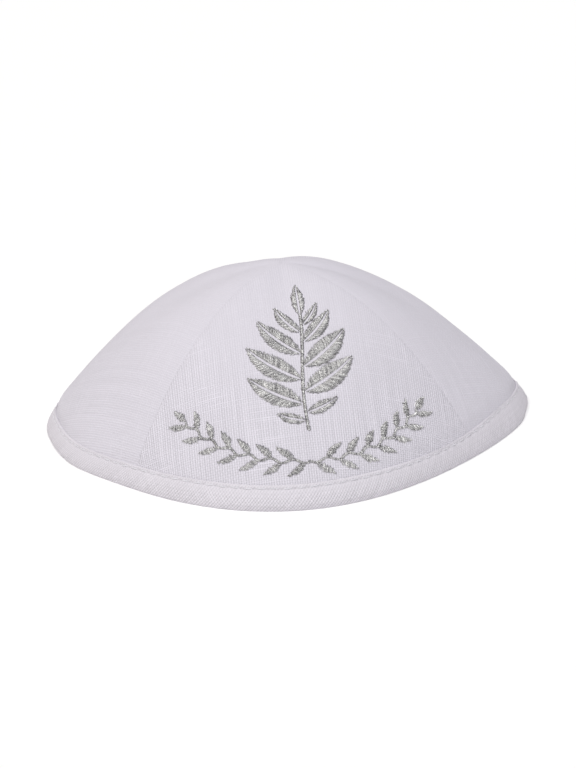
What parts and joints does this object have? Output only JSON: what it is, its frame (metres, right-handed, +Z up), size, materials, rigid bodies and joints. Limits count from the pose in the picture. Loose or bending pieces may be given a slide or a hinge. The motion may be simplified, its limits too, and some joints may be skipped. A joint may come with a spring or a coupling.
{
  "type": "skullcap",
  "caption": "White linen skullcap sewn from gores that meet at the crown, its rim bound with bias-cut linen, with silver thread embroidery on the front gore.",
  "frame": {"origin": "middle of the rim, on the plane that the cap rests on", "axes": "+X across the cap to the wearer's left, -Y to the embroidered front, +Z up through the crown"},
  "size_m": [0.1764, 0.1726, 0.0585],
  "materials": {
    "linen_panel": "matt plain-weave linen, slightly slubbed, off-white with a cool cast",
    "linen_binding": "matt plain-weave linen cut on the bias, topstitched in white thread"
  },
  "bodies": {
    "root": {"panel_front": "linen_panel", "panel_right": "linen_panel", "panel_back": "linen_panel", "panel_left": "linen_panel", "rim_binding": "linen_binding"}
  },
  "joints": []
}
